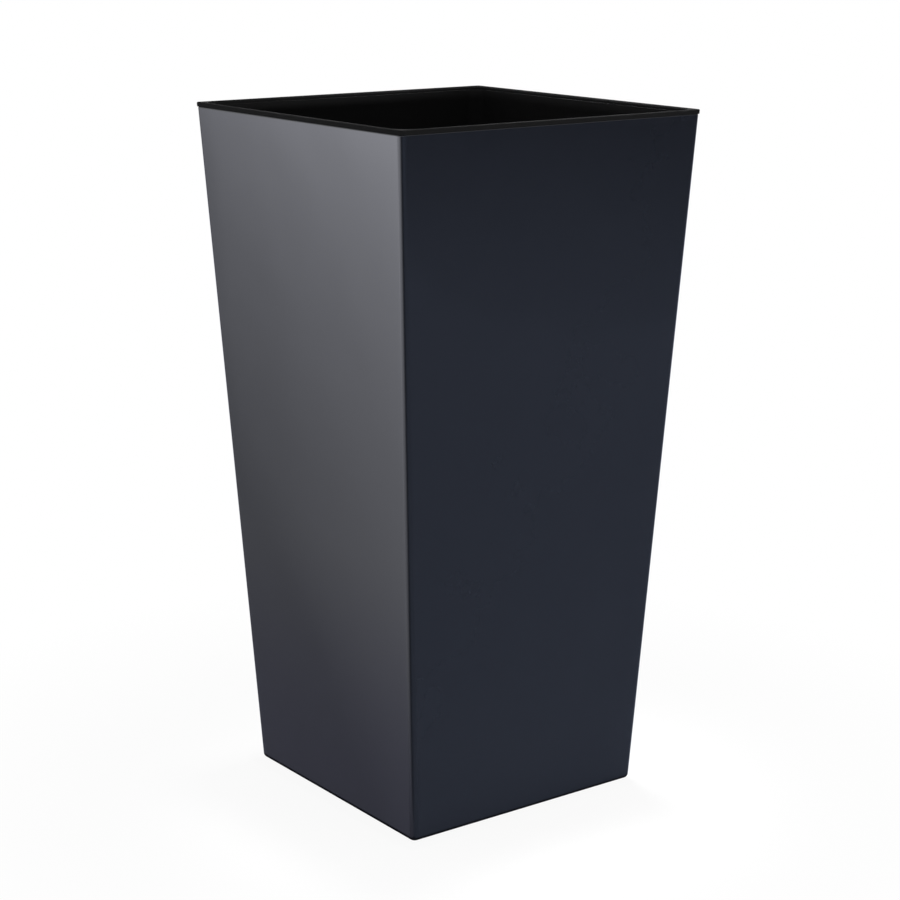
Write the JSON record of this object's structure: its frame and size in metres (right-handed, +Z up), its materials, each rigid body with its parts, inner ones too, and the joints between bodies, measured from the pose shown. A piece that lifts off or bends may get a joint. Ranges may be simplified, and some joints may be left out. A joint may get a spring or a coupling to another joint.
{
  "type": "square planter",
  "caption": "Tall tapered square planter: a satin anthracite cover pot with a black liner that hangs by its rim and lifts out, with drain holes in the liner's floor.",
  "frame": {"origin": "on the floor, at the middle of the base", "axes": "+Z up along the planter's upright axis, +X and +Y square to its sides"},
  "size_m": [0.32, 0.32, 0.625],
  "materials": {
    "pot_plastic": "satin, moulded, anthracite",
    "insert_plastic": "matt to satin, moulded, black"
  },
  "bodies": {
    "outer_pot": {"outer_pot": "pot_plastic"},
    "insert": {"insert": "insert_plastic"}
  },
  "joints": [
    {"name": "insert_lift", "type": "slide", "parent": "outer_pot", "child": "insert", "axis": [0, 0, 1], "range_m": [0, 0.33]}
  ]
}
